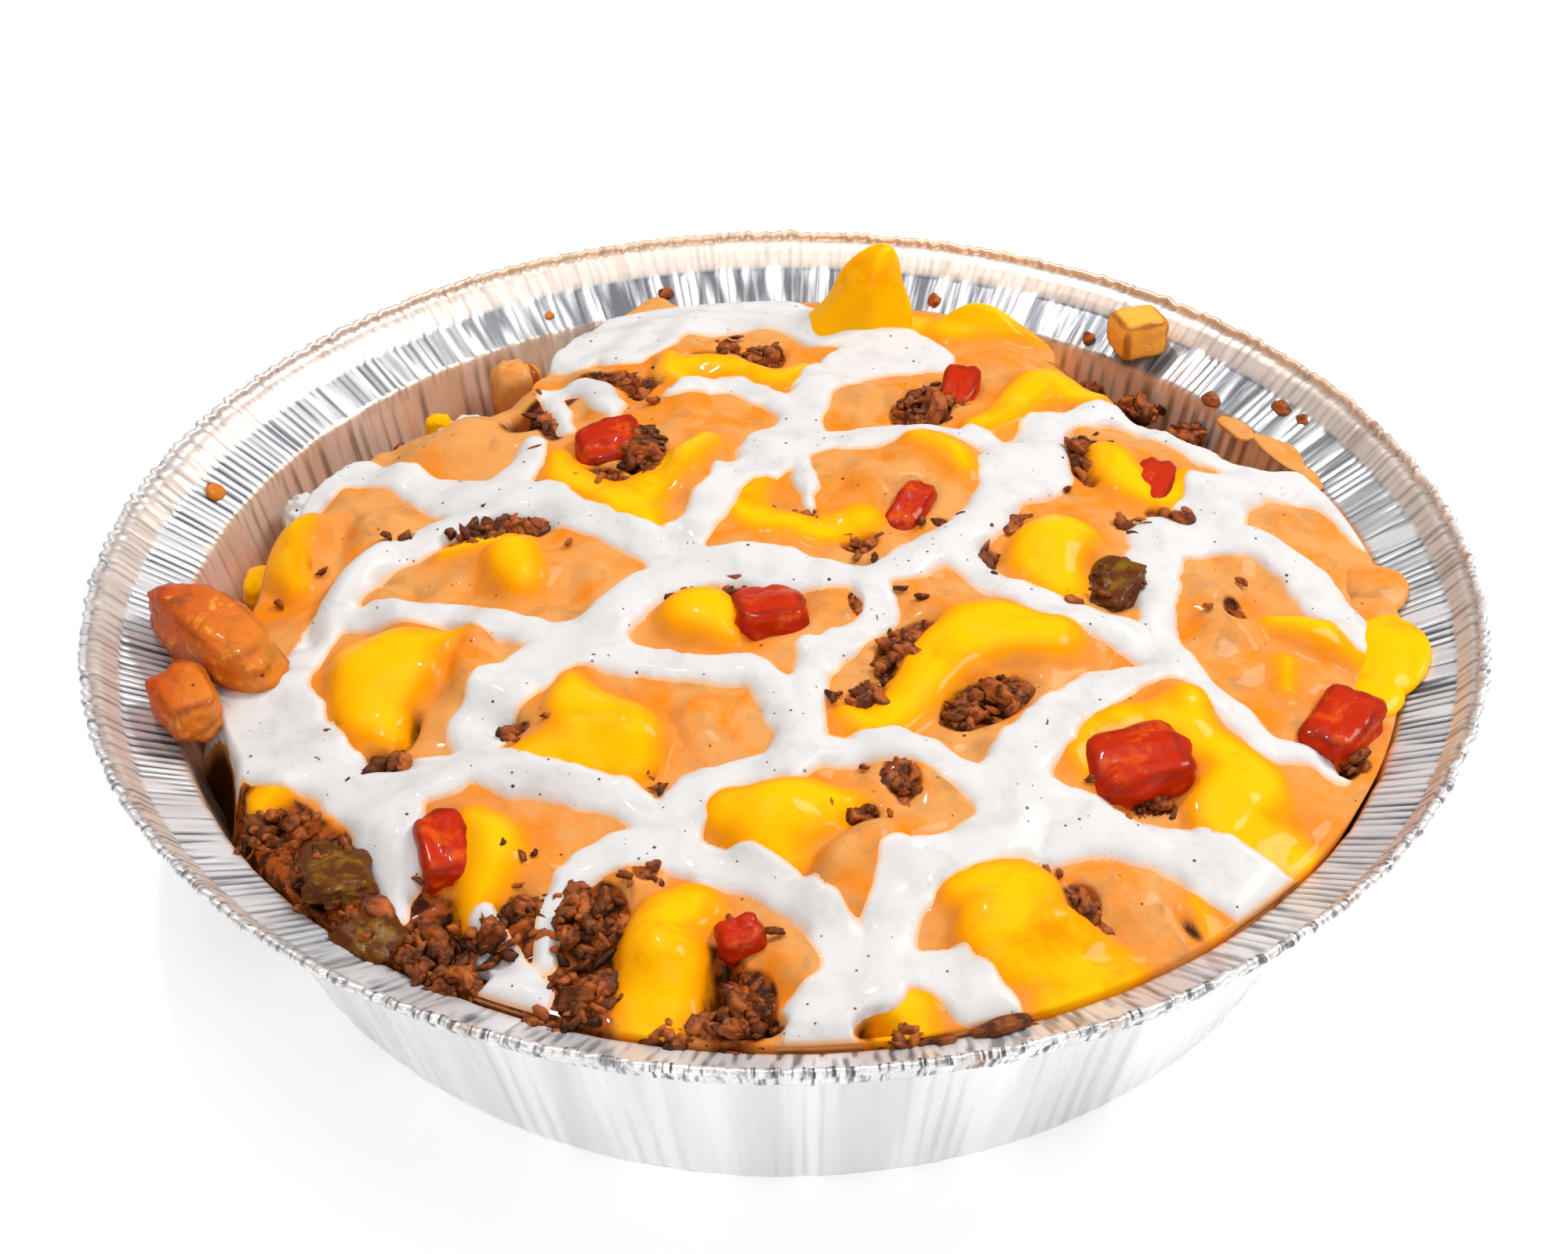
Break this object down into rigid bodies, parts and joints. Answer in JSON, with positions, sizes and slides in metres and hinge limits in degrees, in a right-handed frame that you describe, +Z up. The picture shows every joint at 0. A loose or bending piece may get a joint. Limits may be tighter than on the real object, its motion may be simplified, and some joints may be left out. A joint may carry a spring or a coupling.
{
  "type": "dish of french fries",
  "caption": "Round foil takeaway pan heaped with french fries under melted cheese, orange sauce, seasoned beef, diced tomato and peppers, with white ranch drizzle.",
  "frame": {"origin": "middle of the pan's flat underside", "axes": "+X right seen from the front, +Y to the back, +Z up; the front is -Y"},
  "size_m": [0.2322, 0.2322, 0.062],
  "materials": {
    "foil": "bright crinkled aluminium foil",
    "loaded_fries": "fries coated in glossy melted cheese, orange sauce and white ranch",
    "tomato": "wet glossy red",
    "pepper": "soft olive green, oily sheen",
    "beef": "rough cooked brown with an oily sheen",
    "potato": "fried golden brown, slightly oily"
  },
  "bodies": {
    "root": {"foil_pan": "foil", "loaded_fries": "loaded_fries", "tomato_1": "tomato", "tomato_2": "tomato", "tomato_3": "tomato", "tomato_4": "tomato", "tomato_5": "tomato", "tomato_6": "tomato", "tomato_7": "tomato", "tomato_8": "tomato", "tomato_9": "tomato", "pepper_1": "pepper", "pepper_2": "pepper", "pepper_3": "pepper", "beef_1": "beef", "beef_2": "beef", "beef_3": "beef", "beef_4": "beef", "beef_5": "beef", "beef_6": "beef", "beef_7": "beef", "beef_8": "beef", "beef_9": "beef", "beef_10": "beef", "beef_11": "beef", "beef_12": "beef", "beef_13": "beef", "beef_14": "beef", "potato_wedge_1": "potato", "potato_wedge_2": "potato", "potato_cube": "potato"}
  },
  "joints": []
}
